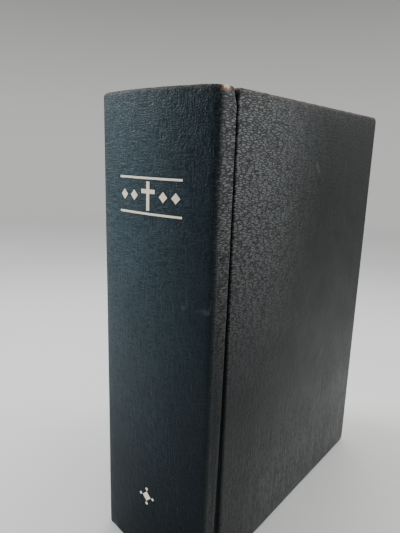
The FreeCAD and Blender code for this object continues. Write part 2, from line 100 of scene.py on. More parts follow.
SPINE_RADIUS = outer_radius()
ARC_CENTRE_Y = SPINE_LOW.y + SPINE_RADIUS
FILLET_REACH = SPINE_RADIUS - SHOULDER_RADIUS
ARC_ANGLE = math.asin((HALF_THICKNESS - SHOULDER_RADIUS) / FILLET_REACH)
ARC_LENGTH = SPINE_RADIUS * ARC_ANGLE
SIDE_START = ARC_LENGTH + SHOULDER_RADIUS * (math.pi / 2 - ARC_ANGLE)
SIDE_Y = ARC_CENTRE_Y - FILLET_REACH * math.cos(ARC_ANGLE)


def side_s(y):
    """Distance along the sheet of a point at y on the book's flat side."""
    return SIDE_START + y - SIDE_Y


BOARD_EDGE_S = side_s(BOARD_EDGE_Y)
FORE_EDGE_S = side_s(FORE_EDGE_Y)


def smooth(values, low, high):
    """0 below low, 1 above high, smoothly between."""
    t = np.clip((np.asarray(values, float) - low) / (high - low), 0, 1)
    return t * t * (3 - 2 * t)


def field(across, up, size_across, size_up, seed):
    """Smooth noise from -1 to 1 over a surface, with features of the given sizes."""
    across, up = np.broadcast_arrays(across, up)
    values = [noise.noise(Vector((a / size_across, b / size_up, seed)))
              for a, b in zip(across.flat, up.flat)]
    return np.array(values).reshape(across.shape)


def spread(*stretches):
    """Places along a line, from stretches (first, last, step) that follow on from each other."""
    places = [stretches[0][0]]
    for first, last, step in stretches:
        count = max(1, round((last - first) / step))
        places.extend(first + (last - first) * number / count for number in range(1, count + 1))
    return np.array(places)


# ---------------------------------------------------------------- meshes

def add_mesh(name, points, faces, attributes=None):
    """A smooth-shaded mesh object. Attributes are arrays with one number or one vector per point."""
    mesh = bpy.data.meshes.new(name)
    mesh.from_pydata([tuple(point) for point in points], [], [tuple(face) for face in faces])
    for key, values in (attributes or {}).items():
        values = np.asarray(values, np.float32)
        if values.ndim == 2:
            mesh.attributes.new(key, "FLOAT_VECTOR", "POINT").data.foreach_set("vector", values.ravel())
        else:
            mesh.attributes.new(key, "FLOAT", "POINT").data.foreach_set("value", values)
    mesh.shade_smooth()
    piece = bpy.data.objects.new(name, mesh)
    bpy.context.scene.collection.objects.link(piece)
    return piece


def grid_faces(index):
    """Quads over a two-dimensional array of point numbers."""
    corners = [index[:-1, :-1], index[1:, :-1], index[1:, 1:], index[:-1, 1:]]
    return np.stack(corners, axis=-1).reshape(-1, 4)


def apply_modifiers(piece):
    """Replaces the piece's mesh with the mesh that its modifiers make."""
    evaluated = piece.evaluated_get(bpy.context.evaluated_depsgraph_get())
    mesh = bpy.data.meshes.new_from_object(evaluated)
    piece.modifiers.clear()
    piece.data = mesh


def thicken(piece, thickness, out):
    """Turns a sheet's faces towards out, and gives it its thickness on the other side."""
    faces = piece.data.polygons
    if faces[len(faces) // 4].normal.dot(Vector(out)) < 0:
        piece.data.flip_normals()
    solidify = piece.modifiers.new("thickness", "SOLIDIFY")
    solidify.thickness = thickness
    solidify.offset = -1
    apply_modifiers(piece)


# ---------------------------------------------------------------- the lie of the leatherette

CREASE_HEAD_HALF = 0.65 * MM
CREASE_TAIL_HALF = 2.6 * MM
CREASE_HEAD_DEPTH = 1.4 * MM
CREASE_TAIL_DEPTH = 1.8 * MM
NOTCH_HEIGHT = 5.5 * MM
NOTCH_EXTRA_HALF = 1.0 * MM
NOTCH_EXTRA_DEPTH = 0.9 * MM
CREASE_TO_BOARD = 0.5 * MM
WRINKLE_DEPTH = 0.12 * MM
WAVE_DEPTH = 0.10 * MM
SLACK_DEPTH = 0.9 * MM
SLACK_HALF = 3 * MM
BUMP_START_S = 30.5 * MM
BUMP_PEAK_S = 38.5 * MM
BUMP_AT_BACK = 1.9 * MM
BUMP_AT_FRONT = 0.4 * MM
SUNK_DEPTH = 1.6 * MM
SUNK_HALF = 1.9 * MM
SUNK_TO_BOARD = 2.0 * MM
FRAYING = 0.16 * MM
EDGE_DROP_REACH = 22 * MM
TAIL_DROP_SHARE = 0.3
INLAY_RAMP = 1.5 * MM
BOARD_RAMP = 0.6 * MM
OUTER_FACE_DEPTH = 0.3 * MM
INNER_FACE_DEPTH = 1.6 * MM


def sheet_outline(s):
    """Place (x, y) and outward direction of the undented outer face."""
    s = np.asarray(s, float)
    sign = np.where(s < 0, -1.0, 1.0)
    along = np.abs(s)
    on_arc = along <= ARC_LENGTH
    on_side = along >= SIDE_START
    turn = np.where(on_arc, along / SPINE_RADIUS, ARC_ANGLE + (along - ARC_LENGTH) / SHOULDER_RADIUS)
    turn = np.where(on_side, math.pi / 2, turn)
    out_x, out_y = np.sin(turn), -np.cos(turn)
    fillet_x = HALF_THICKNESS - SHOULDER_RADIUS * (1 - out_x)
    fillet_y = SIDE_Y + SHOULDER_RADIUS * out_y
    x = np.where(on_arc, SPINE_RADIUS * out_x, fillet_x)
    y = np.where(on_arc, ARC_CENTRE_Y + SPINE_RADIUS * out_y, fillet_y)
    y = np.where(on_side, SIDE_Y + along - SIDE_START, y)
    return sign * x, y, sign * out_x, out_y


def notch(z):
    """Rises evenly from 0 to 1 over the last stretch below the head."""
    return np.clip((z - HEIGHT + NOTCH_HEIGHT) / NOTCH_HEIGHT, 0, 1)


def crease_offset(s, z):
    """Distance from the middle of the crease, as a share of its half width.

    The crease is a tight line at the head, where it ends in a notch, and gapes towards the tail.
    """
    gape = (CREASE_TAIL_HALF - CREASE_HEAD_HALF) * (1 - z / HEIGHT) ** 2
    half = CREASE_HEAD_HALF + gape + NOTCH_EXTRA_HALF * notch(z)
    return (np.abs(s) - (BOARD_EDGE_S - CREASE_TO_BOARD - half)) / half


def crease_profile(s, z):
    """1 in the middle of the crease, falling to 0 at its sides."""
    return np.exp(-np.abs(crease_offset(s, z)) ** 3)


def crease_depth(z):
    """Depth of the middle of the crease."""
    deepening = (CREASE_TAIL_DEPTH - CREASE_HEAD_DEPTH) * (1 - z / HEIGHT)
    return CREASE_HEAD_DEPTH + deepening + NOTCH_EXTRA_DEPTH * notch(z)


def dent(s, z):
    """How far the outer face lies under its plain outline.

    It has the crease, wrinkles in the joint, gentle waves all over, and slack shoulders towards the tail.
    """
    z = np.clip(z, 0, HEIGHT)
    crease = crease_depth(z) * crease_profile(s, z)
    before_crease = 1 - smooth(crease_offset(s, z), -1.2, -0.5)
    in_joint = smooth(np.abs(s), SIDE_START - 3 * MM, SIDE_START + 2 * MM) * before_crease
    wrinkled = in_joint * smooth(z, 20 * MM, 100 * MM)
    wrinkles = wrinkled * WRINKLE_DEPTH * field(s, z, 7 * MM, 1.6 * MM, seed=5.0)
    waves = WAVE_DEPTH * (field(s, z, 38 * MM, 55 * MM, seed=9.0) + 0.5)
    slack = SLACK_DEPTH * (1 - z / HEIGHT) * np.exp(-((np.abs(s) - SIDE_START) / SLACK_HALF) ** 2)
    return crease + wrinkles + waves + slack


def edge_drop(s, seed):
    """How far a head or tail edge lies inside the plain outline.

    It is bumped at the shoulders, most at the back cover's, sunk at the creases, and frayed all along.
    """
    along = np.abs(s)
    bumped = smooth(along, BUMP_START_S, BUMP_PEAK_S) * (1 - smooth(along, BUMP_PEAK_S, BOARD_EDGE_S))
    bumped = bumped * np.where(s < 0, BUMP_AT_BACK, BUMP_AT_FRONT)
    sunk = SUNK_DEPTH * np.exp(-((along - BOARD_EDGE_S + SUNK_TO_BOARD) / SUNK_HALF) ** 2)
    coarse = 1 + field(s, 0, 6 * MM, 1, seed)
    fine = 1 + field(s, 0, 1.4 * MM, 1, seed + 1)
    return bumped + sunk + FRAYING * (coarse + fine / 2)


def wrap_thickness(s):
    """Thickness of the case at its head and tail edges, from the outer face to the turned-in face."""
    along = np.abs(s)
    over_spine = 2 * SKIN + INLAY * (1 - smooth(along, INLAY_HIGH.x, INLAY_HIGH.x + INLAY_RAMP))
    over_board = CASE_THICKNESS * smooth(along, BOARD_EDGE_S - BOARD_RAMP, BOARD_EDGE_S)
    return np.maximum(over_spine, over_board)


def sheet_points(s, z, depth):
    """Places of points of the sheet. Over the boards, dents fade out as a point goes round an edge."""
    x, y, out_x, out_y = sheet_outline(s)
    outer = 1 - smooth(depth, OUTER_FACE_DEPTH, INNER_FACE_DEPTH)
    beside_board = np.abs(s) < BOARD_EDGE_S - BOARD_RAMP / 2
    down = depth + dent(s, z) * np.where(beside_board, 1, outer)
    head = edge_drop(s, 3.0) * smooth(z, HEIGHT - EDGE_DROP_REACH, HEIGHT)
    tail = TAIL_DROP_SHARE * edge_drop(s, 7.0) * (1 - smooth(z, 0, EDGE_DROP_REACH))
    return np.stack([x - out_x * down, y - out_y * down, z - head + tail], axis=-1)


# ---------------------------------------------------------------- leatherette pieces

ROUNDING_STEPS = 4
FLAP_STEPS = 6
ROW_STEP = 0.85 * MM
ARC_STEP = 1.1 * MM
SHOULDER_STEP = 0.4 * MM


def wrap_profile(thickness):
    """(inset, depth) of the rings that go round an edge and over the turned-in flap, for each point."""
    rounding = np.minimum(EDGE_ROUNDING, thickness / 2)
    rings = []
    for step in range(1, ROUNDING_STEPS + 1):
        angle = math.pi / 2 * step / ROUNDING_STEPS
        rings.append((rounding * (1 - math.sin(angle)), rounding * (1 - math.cos(angle))))
    for step in range(ROUNDING_STEPS + 1):
        angle = math.pi / 2 * step / ROUNDING_STEPS
        rings.append((rounding * (1 - math.cos(angle)), thickness - rounding * (1 - math.sin(angle))))
    for step in range(1, FLAP_STEPS + 1):
        part = step / FLAP_STEPS
        rings.append((rounding + (TURN_IN - rounding) * part, thickness))
    return rings


def leatherette_piece(name, s, z, rings):
    """One piece of the sheet: its outer grid, and rings of points that continue its edges.

    Each run of rings is (first ring's point numbers in the grid, [(s, z, depth, inset), ...]).
    """
    index = np.arange(s.size).reshape(s.shape)
    inset = np.minimum(z, HEIGHT - z)
    inset = np.minimum(inset, FORE_EDGE_S - np.abs(s))
    coordinates = [np.stack([s.ravel(), z.ravel(), np.zeros(s.size)], axis=-1)]
    insets = [inset.ravel()]
    faces = [grid_faces(index)]
    total = s.size
    for first_ring, following in rings:
        previous = first_ring
        for ring_s, ring_z, ring_depth, ring_inset in following:
            current = np.arange(total, total + len(ring_s))
            total += len(ring_s)
            coordinates.append(np.stack([ring_s, ring_z, ring_depth], axis=-1))
            insets.append(ring_inset)
            faces.append(grid_faces(np.stack([previous, current])))
            previous = current
    coordinates = np.concatenate(coordinates)
    faces = np.concatenate(faces)
    points = sheet_points(*coordinates.T)
    crease = crease_profile(coordinates[:, 0], np.clip(coordinates[:, 1], 0, HEIGHT))
    attributes = {"sheet": coordinates, "inset": np.concatenate(insets), "crease": crease}
    return add_mesh(name, points, faces, attributes)


def make_spine_skin():
    """The leatherette over the round spine, turned in at head and tail over the spine inlay."""
    half = spread((0, ARC_LENGTH, ARC_STEP), (ARC_LENGTH, SIDE_START, SHOULDER_STEP))
    line = np.concatenate([-half[:0:-1], half])
    thickness = wrap_thickness(line)
    rounding = np.minimum(EDGE_ROUNDING, thickness / 2)
    parts = spread((0, 1, ROW_STEP / HEIGHT))
    s = np.repeat(line[:, None], len(parts), axis=1)
    z = rounding[:, None] + (HEIGHT - 2 * rounding[:, None]) * parts
    index = np.arange(s.size).reshape(s.shape)
    profile = wrap_profile(thickness)
    tail = [(line, inset, depth, inset) for inset, depth in profile]
    head = [(line, HEIGHT - inset, depth, inset) for inset, depth in profile]
    head = [tuple(values[::-1] for values in ring) for ring in head]
    piece = leatherette_piece("spine_skin", s, z, [(index[:, 0], tail), (index[::-1, -1], head)])
    thicken(piece, SKIN, (0, -1, 0))
    return piece


CORNER_CELLS = 6
TIGHTEST_CORNER = 0.3 * MM
CORNER_PULL_REACH = 30 * MM


def corner_radius(inset):
    """Radius of a cover's corner, a given distance inside its outline."""
    return np.maximum(TIGHTEST_CORNER, CORNER_RADIUS - inset)


def rim(sides_s, sides_z, inset):
    """Points round tail, fore-edge and head of a cover, a given distance inside its outline.

    The straight sides come from sides_s and sides_z, which run up to the corners at EDGE_ROUNDING. Their
    ends move with the corner, whose radius is smaller further in.
    """
    count = len(sides_s)
    far_inset = inset[count]
    radius = corner_radius(far_inset)
    corner_s = FORE_EDGE_S - far_inset - radius
    pull_start = sides_s[-1] - CORNER_PULL_REACH
    pull = (corner_s - pull_start) / (sides_s[-1] - pull_start)
    line = np.where(sides_s > pull_start, pull_start + (sides_s - pull_start) * pull, sides_s)
    half = HEIGHT / 2
    scale = (half - far_inset - radius) / (half - sides_z[0])
    up = (half + (sides_z - half) * scale)[1:-1]
    share = np.arange(1, CORNER_CELLS + 1) / CORNER_CELLS
    angle = np.arctan2(share * math.sqrt(0.5), np.sqrt(1 - share ** 2 / 2))
    angles = np.concatenate([angle, (math.pi / 2 - angle)[-2::-1], [math.pi / 2]])
    turn_s = corner_s + radius * np.sin(angles)
    turn_z = far_inset + radius * (1 - np.cos(angles))
    side_z = inset[:count]
    fore_edge = np.full(len(up), FORE_EDGE_S - far_inset)
    s = np.concatenate([line, turn_s, fore_edge, turn_s[::-1], line[::-1]])
    z = np.concatenate([side_z, turn_z, up, HEIGHT - turn_z[::-1], HEIGHT - side_z[::-1]])
    return s, z


def cover_grid(sides_s, sides_z, rounding):
    """Places (s, z) of the grid of a cover's outer face, inside the rounding of its edges.

    Past the straight sides, CORNER_CELLS more rows and columns are pushed into quarter discs, so that the
    corners at the fore-edge come out round.
    """
    cells = np.arange(1, CORNER_CELLS + 1) / CORNER_CELLS
    inner_radius = CORNER_RADIUS - EDGE_ROUNDING
    straight = np.zeros(len(sides_z))
    outwards, endwards = np.meshgrid(np.concatenate([np.zeros(len(sides_s)), cells]),
                                     np.concatenate([cells[::-1], straight, cells]), indexing="ij")
    direction = np.concatenate([-np.ones(CORNER_CELLS), straight, np.ones(CORNER_CELLS)])
    base_s = np.pad(sides_s, (0, CORNER_CELLS), "edge")[:, None]
    base_z = np.pad(sides_z, CORNER_CELLS, "edge")[None, :]
    s = base_s + inner_radius * outwards * np.sqrt(1 - endwards ** 2 / 2)
    z = base_z + direction * inner_radius * endwards * np.sqrt(1 - outwards ** 2 / 2)
    rounding = np.pad(rounding, (0, CORNER_CELLS), constant_values=EDGE_ROUNDING)
    room = (CORNER_RADIUS - rounding) / inner_radius
    z = np.where(direction != 0, base_z + (z - base_z) * room[:, None], z)
    return s, z


def make_cover_skin(side):
    """The leatherette over one board and its joint, turned in at head, tail and fore-edge."""
    sign = SIDES[side]
    past_shoulder = SIDE_START + 3 * MM
    before_crease = SIDE_START + 5 * MM
    past_crease = BOARD_EDGE_S + 1.2 * MM
    on_board = BOARD_EDGE_S + 4.2 * MM
    sides_s = spread((SIDE_START, past_shoulder, 0.3 * MM), (past_shoulder, before_crease, 0.5 * MM),
                     (before_crease, past_crease, 0.25 * MM), (past_crease, on_board, 0.6 * MM),
                     (on_board, FORE_EDGE_S - CORNER_RADIUS, 1.7 * MM))
    sides_z = spread((CORNER_RADIUS, HEIGHT - CORNER_RADIUS, ROW_STEP))
    count = len(sides_s)
    s, z = cover_grid(sides_s, sides_z, np.minimum(EDGE_ROUNDING, wrap_thickness(sides_s) / 2))
    index = np.arange(s.size).reshape(s.shape)
    first = np.concatenate([index[:, 0], index[-1, 1:-1], index[::-1, -1]])
    thickness = np.full(len(first), CASE_THICKNESS)
    thickness[:count] = wrap_thickness(sides_s)
    thickness[-count:] = thickness[count - 1::-1]
    rings = []
    for inset, depth in wrap_profile(thickness):
        ring_s, ring_z = rim(sides_s, sides_z, inset)
        rings.append((ring_s * sign, ring_z, depth, inset))
    piece = leatherette_piece(f"{side}_cover_skin", s * sign, z, [(first, rings)])
    thicken(piece, SKIN, (sign, 0, 0))
    return piece


# ---------------------------------------------------------------- leaves, endpapers and bands

SECTION_COUNT = sum(name.startswith("signature_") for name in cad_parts)
LEAF_GROUPS = 7
LEAF_GAP = 0.03 * MM
FOLD_HALF = 0.6 * MM
FOLD_ROUNDING = 2.4 * MM
BLOCK_WAVE = 0.10 * MM
WAVE_HALF = 30 * MM
BEND_LENGTH = 24 * MM
RAGGED_FORE_EDGE = 0.25 * MM
RAGGED_ENDS = 0.12 * MM
RAGGED_REACH = 2 * MM
PAPER = 0.18 * MM


def block_wave(x, y, z):
    """Slow waves that all the leaves share, fading out towards the covers."""
    inner = np.clip(1 - (x / WAVE_HALF) ** 2, 0, 1)
    return BLOCK_WAVE * inner * field(y + 3 * x, z, 50 * MM, 70 * MM, seed=21.0)


def slab_faces(index):
    """Faces of a thin slab: a grid of point numbers, its copy that follows it, and the edges between."""
    copy = index + index.size
    faces = [grid_faces(index), grid_faces(copy[::-1])]
    for edge in (index[:, 0], index[-1, :], index[::-1, -1], index[0, ::-1]):
        faces.append(grid_faces(np.stack([edge, edge + index.size])))
    return faces


def make_section(number):
    """One folded section, drawn as groups of thin leaves that end at slightly different places."""
    node = f"signature_{number:02d}"
    low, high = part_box(node)
    middle = (low.x + high.x) / 2
    full = (high.x - low.x) / 2
    rng = np.random.default_rng(number)
    along = spread((0.3 * MM, FOLD_ROUNDING, 0.5 * MM), (FOLD_ROUNDING, BEND_LENGTH, 2.7 * MM),
                   (BEND_LENGTH, high.y - low.y, 12 * MM))
    up = spread((low.z, low.z + RAGGED_REACH, RAGGED_REACH),
                (low.z + RAGGED_REACH, high.z - RAGGED_REACH, 19 * MM),
                (high.z - RAGGED_REACH, high.z, RAGGED_REACH))
    rounded = np.clip(1 - along / FOLD_ROUNDING, 0, 1)
    half = full - (full - FOLD_HALF) * rounded ** 2
    points = []
    rest = []
    insets = []
    faces = []
    for group in range(LEAF_GROUPS):
        near = 2 * group / LEAF_GROUPS - 1
        far = 2 * (group + 1) / LEAF_GROUPS - 1
        y = low.y + along
        y[-1] -= RAGGED_FORE_EDGE * rng.random()
        z = up.copy()
        z[0] += RAGGED_ENDS * rng.random()
        z[-1] -= RAGGED_ENDS * rng.random()
        ys, zs = np.meshgrid(y, z, indexing="ij")
        for share, gap in ((near, LEAF_GAP / 2), (far, -LEAF_GAP / 2)):
            x = np.repeat((middle + half * share + gap)[:, None], len(z), axis=1)
            points.append(np.stack([x + block_wave(x, ys, zs), ys, zs], axis=-1).reshape(-1, 3))
            rest.append(np.stack([x, ys, zs], axis=-1).reshape(-1, 3))
            insets.append(np.minimum.outer(y[-1] - y, np.minimum(z - z[0], z[-1] - z)).ravel())
        first = 2 * group * ys.size
        faces.extend(slab_faces(np.arange(first, first + ys.size).reshape(ys.shape)))
    piece = add_mesh(f"{node}_leaves", np.concatenate(points), np.concatenate(faces),
                     {"rest": np.concatenate(rest), "inset": np.concatenate(insets)})
    piece.data.shade_flat()
    if piece.data.polygons[0].normal.x > 0:
        piece.data.flip_normals()
    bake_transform(piece)
    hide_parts(node)
    return piece


def paper_sheet(name, line, low_z, high_z, out):
    """A sheet of paper whose edge follows a line of (x, y) points, and whose face looks towards out."""
    line = np.asarray(line, float)
    up = spread((low_z, high_z, 8 * MM))
    x = np.repeat(line[:, :1], len(up), axis=1)
    y = np.repeat(line[:, 1:], len(up), axis=1)
    z = np.repeat(up[None, :], len(line), axis=0)
    points = np.stack([x, y, z], axis=-1).reshape(-1, 3)
    inset = np.minimum.outer(line[-1, 1] - line[:, 1], np.minimum(up - up[0], up[-1] - up)).ravel()
    piece = add_mesh(name, points, grid_faces(np.arange(x.size).reshape(x.shape)),
                     {"rest": points, "inset": inset})
    thicken(piece, PAPER, out)
    return piece


# How the joint's paper lining runs: (how far inside its outermost place, how far past the hinge), in mm.
JOINT_PAPER_X = 34.3 * MM
JOINT_LINING = ((0.5, -0.6), (0.0, -0.1), (0.0, 0.6), (0.1, 2.5), (0.6, 4.5), (1.4, 6.5))


def make_endpapers(side):
    """The pastedown with the strip that lines the joint, and the free flyleaf."""
    sign = SIDES[side]
    fold_x = FLYLEAF_HIGH.x + 0.12 * MM
    fold_y = FLYLEAF_LOW.y - 0.1 * MM
    lining = [(fold_x, fold_y), (fold_x + 1.4 * MM, fold_y - 0.1 * MM)]
    lining += [(JOINT_PAPER_X - inside * MM, HINGE_Y + past * MM) for inside, past in JOINT_LINING]
    lining += [(JOINT_PAPER_X - 2.1 * MM, BOARD_EDGE_Y - 1.0 * MM),
               (PASTEDOWN_LOW.x + 0.04 * MM, BOARD_EDGE_Y - 0.1 * MM)]
    board = [(PASTEDOWN_LOW.x, y) for y in spread((BOARD_EDGE_Y + 2 * MM, PASTEDOWN_HIGH.y, 9 * MM))]
    line = [(sign * x, y) for x, y in lining + board]
    pastedown = paper_sheet(f"{side}_pastedown_paper", line, PASTEDOWN_LOW.z, PASTEDOWN_HIGH.z, (-sign, 0, 0))
    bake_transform(pastedown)
    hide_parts(f"{side}_pastedown")

    middle = (FLYLEAF_LOW.x + FLYLEAF_HIGH.x) / 2
    leaf = [(sign * middle, y) for y in spread((FLYLEAF_LOW.y, FLYLEAF_LOW.y + BEND_LENGTH, 3 * MM),
                                               (FLYLEAF_LOW.y + BEND_LENGTH, FLYLEAF_HIGH.y, 9 * MM))]
    flyleaf = paper_sheet(f"{side}_flyleaf_paper", leaf, FLYLEAF_LOW.z, FLYLEAF_HIGH.z, (-sign, 0, 0))
    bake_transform(flyleaf)
    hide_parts(f"{side}_flyleaf")
    return pastedown, flyleaf


THREAD_PITCH = 0.75 * MM
THREAD_LEAN = 0.15 * MM
THREAD_RELIEF = 0.07
STEPS_PER_THREAD = 6
BEAD_RADIUS = 1.1 * MM
BEAD_SIDES = 12
BAND_CLOTH = 0.24 * MM
BAND_CLEARANCE = 0.3 * MM
CLOTH_COLUMNS = 24


def round_spine(radius, angle, z):
    """Points at a distance from the centre of the spine's arc, and an angle from its middle."""
    points = np.stack([radius * np.sin(angle), ARC_CENTRE_Y - radius * np.cos(angle), z], axis=-1)
    return points.reshape(-1, 3)


def wound_bead(radius, half_angle, bead_z):
    """Points and faces of a bead along the spine, and each point's (length, turn, 1) along the thread."""
    turns = round(2 * half_angle * radius / THREAD_PITCH)
    angles = np.linspace(-half_angle, half_angle, turns * STEPS_PER_THREAD + 1)
    around = np.linspace(0, 2 * math.pi, BEAD_SIDES, endpoint=False)
    length, turn = np.meshgrid(angles * radius, around, indexing="ij")
    lean = length + THREAD_LEAN * np.sin(turn)
    ridge = np.abs(np.cos(math.pi * lean / THREAD_PITCH))
    thread = BEAD_RADIUS * (1 - THREAD_RELIEF + THREAD_RELIEF * ridge)
    points = round_spine(radius + thread * np.cos(turn), length / radius, bead_z + thread * np.sin(turn))
    index = np.arange(length.size).reshape(length.shape)
    index = np.concatenate([index, index[:, :1]], axis=1)
    faces = [tuple(face) for face in grid_faces(index)]
    faces.append(tuple(index[0, :-1]))
    faces.append(tuple(index[-1, :-1][::-1]))
    wound = np.stack([lean.ravel(), turn.ravel(), np.ones(lean.size)], axis=-1)
    return points, faces, wound


def band_cloth(radius, half_angle, low_z, high_z, start):
    """Points of the strip of cloth that a bead is sewn to, and faces that number them from start."""
    angle, distance, z = np.meshgrid(np.linspace(-half_angle, half_angle, CLOTH_COLUMNS),
                                     (radius - BAND_CLOTH / 2, radius + BAND_CLOTH / 2),
                                     (low_z, high_z), indexing="ij")
    points = round_spine(distance, angle, z)
    corners = np.arange(start, start + len(points)).reshape(-1, 4)[:, [0, 1, 3, 2]]
    ring = np.concatenate([corners, corners[:, :1]], axis=1)
    faces = [tuple(face) for face in grid_faces(ring)]
    faces.append(tuple(corners[0]))
    faces.append(tuple(corners[-1][::-1]))
    return points, faces


def make_end_band(node):
    """A worked end band: a bead wound with two coloured threads, sewn to a strip of cloth."""
    low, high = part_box(node)
    at_head = low.z > HEIGHT / 2
    bead_z = high.z - BEAD_RADIUS if at_head else low.z + BEAD_RADIUS
    low_z, high_z = (low.z, bead_z) if at_head else (bead_z, high.z)
    radius = ARC_CENTRE_Y - low.y - BEAD_RADIUS
    half_angle = math.asin((high.x - BAND_CLEARANCE) / radius)
    points, faces, wound = wound_bead(radius, half_angle, bead_z)
    cloth_points, cloth_faces = band_cloth(radius, half_angle, low_z, high_z, len(points))
    rest = np.concatenate([wound, np.zeros(cloth_points.shape)])
    piece = add_mesh(f"{node}_threads", np.concatenate([points, cloth_points]), faces + cloth_faces,
                     {"rest": rest})
    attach(piece, "spine")
    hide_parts(node)
    return piece


# ---------------------------------------------------------------- materials

class Graph:
    """The nodes of a material or world. Values given as sockets are linked, other values are set."""

    def __init__(self, owner, shader="Principled BSDF"):
        self.owner = owner
        owner.use_nodes = True
        self.tree = owner.node_tree
        self.shader = self.tree.nodes[shader]

    def put(self, socket, value):
        if isinstance(value, bpy.types.NodeSocket):
            self.tree.links.new(value, socket)
        else:
            socket.default_value = value

    def node(self, kind, inputs=None, **settings):
        node = self.tree.nodes.new(kind)
        for key, value in settings.items():
            setattr(node, key, value)
        for key, value in (inputs or {}).items():
            self.put(node.inputs[key], value)
        return node

    def finish(self, **inputs):
        """Sets the shader's own sockets, with spaces in their names written as underscores."""
        for key, value in inputs.items():
            self.put(self.shader.inputs[key.replace("_", " ")], value)
        return self.owner

    def coordinates(self, kind="Object"):
        return self.node("ShaderNodeTexCoord").outputs[kind]

    def attribute(self, name, output="Vector"):
        return self.node("ShaderNodeAttribute", attribute_name=name).outputs[output]

    def in_millimetres(self, name):
        return self.stretch(self.attribute(name), (1 / MM, 1 / MM, 1 / MM))

    def split(self, vector):
        """The three numbers of a vector."""
        return self.node("ShaderNodeSeparateXYZ", {0: vector}).outputs

    def vector(self, operation, a, b):
        return self.node("ShaderNodeVectorMath", {0: a, 1: b}, operation=operation).outputs[0]

    def stretch(self, vector, factors):
        return self.vector("MULTIPLY", vector, factors)

    def math(self, operation, a, b=0.0, clamp=False):
        return self.node("ShaderNodeMath", {0: a, 1: b}, operation=operation, use_clamp=clamp).outputs[0]

    def times(self, a, b):
        return self.math("MULTIPLY", a, b)

    def step(self, value, low, high, to_low=0.0, to_high=1.0):
        """Goes smoothly from to_low to to_high as the value goes from low to high."""
        inputs = {"Value": value, "From Min": low, "From Max": high, "To Min": to_low, "To Max": to_high}
        return self.node("ShaderNodeMapRange", inputs, interpolation_type="SMOOTHSTEP").outputs[0]

    def noise(self, vector, scale, detail=2.0, roughness=0.5, output=0):
        inputs = {"Vector": vector, "Scale": scale, "Detail": detail, "Roughness": roughness}
        return self.node("ShaderNodeTexNoise", inputs).outputs[output]

    def cells(self, vector, scale, randomness=1.0):
        """Distance from the borders of irregular cells."""
        inputs = {"Vector": vector, "Scale": scale, "Randomness": randomness}
        return self.node("ShaderNodeTexVoronoi", inputs, feature="DISTANCE_TO_EDGE").outputs["Distance"]

    def mix(self, factor, a, b):
        """A colour that goes from a to b as the factor goes from 0 to 1."""
        return self.node("ShaderNodeMix", {0: factor, 6: a, 7: b}, data_type="RGBA").outputs[2]

    def blend(self, factor, a, b):
        """A number that goes from a to b as the factor goes from 0 to 1."""
        return self.node("ShaderNodeMix", {0: factor, 2: a, 3: b}, data_type="FLOAT").outputs[0]

    def bump(self, height, distance, strength=1.0):
        inputs = {"Height": height, "Distance": distance, "Strength": strength}
        return self.node("ShaderNodeBump", inputs).outputs[0]


JOINT_S = SIDE_START / MM


def leatherette_grain(g, place, across, up, near_joint):
    """The raised cells of the grain, and the height of cells and fine noise together.

    There are pebbles at the head, upright cells lower down and level ones at the joint, over threads.
    """
    drift = g.vector("SUBTRACT", g.noise(place, 0.11, 2.0, 0.5, output=1), (0.5, 0.5, 0.5))
    warped = g.vector("ADD", place, g.stretch(drift, (4.0, 4.0, 4.0)))
    quiver = g.vector("SUBTRACT", g.noise(place, 0.55, 1.0, 0.5, output=1), (0.5, 0.5, 0.5))
    warped = g.vector("ADD", warped, g.stretch(quiver, (1.3, 1.3, 1.3)))
    drifted = g.vector("ADD", place, g.stretch(drift, (3.0, 3.0, 3.0)))
    pebbles = g.step(g.cells(g.stretch(warped, (0.72, 1.0, 1.0)), 0.70, 0.75), 0.0, 0.28)
    upright = g.step(g.cells(g.stretch(warped, (1.0, 0.22, 1.0)), 0.66), 0.0, 0.28)
    level = g.step(g.cells(g.stretch(drifted, (0.25, 1.15, 1.0)), 1.02, 0.9), 0.0, 0.28)
    warp = g.noise(g.stretch(drifted, (1.0, 0.10, 1.0)), 1.1, 2.0, 0.6)
    weft = g.noise(g.stretch(drifted, (0.16, 1.3, 1.0)), 1.1, 2.0, 0.6)
    threads = g.step(g.math("MAXIMUM", warp, weft), 0.46, 0.68)
    patches = g.math("SUBTRACT", g.noise(place, 0.030, 1.0), 0.5)
    streaked = g.math("ADD", g.step(up, 50.0, 175.0, 0.9, 0.1), patches, clamp=True)
    grain = g.blend(streaked, pebbles, upright)
    grain = g.blend(g.step(across, -20.0, 30.0, 0.75, 0.50), grain, threads)
    crackled = g.times(near_joint, g.step(up, 40.0, 110.0, 0.0, 0.9))
    grain = g.blend(crackled, grain, level)
    fine = g.noise(warped, 2.0, 2.0)
    return grain, g.math("ADD", g.times(grain, 0.8), g.times(fine, 0.30))


def spine_colour(g, across, up, tone):
    """Teal to navy: fades unevenly, most at the head, and is darker towards the tail and the front shoulder,
    partly painted shade; a painted sheen lies towards the back cover.
    """
    # Real fading together with painted shade: darker towards the tail and towards the front cover's shoulder.
    fade_and_shade = g.times(g.step(across, 62.0, -32.0), g.step(up, 10.0, 190.0, 0.04, 1.0))
    fade_and_shade = g.math("ADD", fade_and_shade, g.times(g.math("SUBTRACT", tone, 0.5), 0.4), clamp=True)
    colour = g.mix(fade_and_shade, (0.0040, 0.0086, 0.0130, 1), (0.032, 0.062, 0.082, 1))
    # Painted sheen: a pale grey haze over the back shoulder, stronger towards the head.
    painted_sheen = g.times(g.step(across, -27.0, -36.0), g.step(up, 40.0, 180.0, 0.2, 0.8))
    return g.mix(painted_sheen, colour, (0.058, 0.066, 0.069, 1))


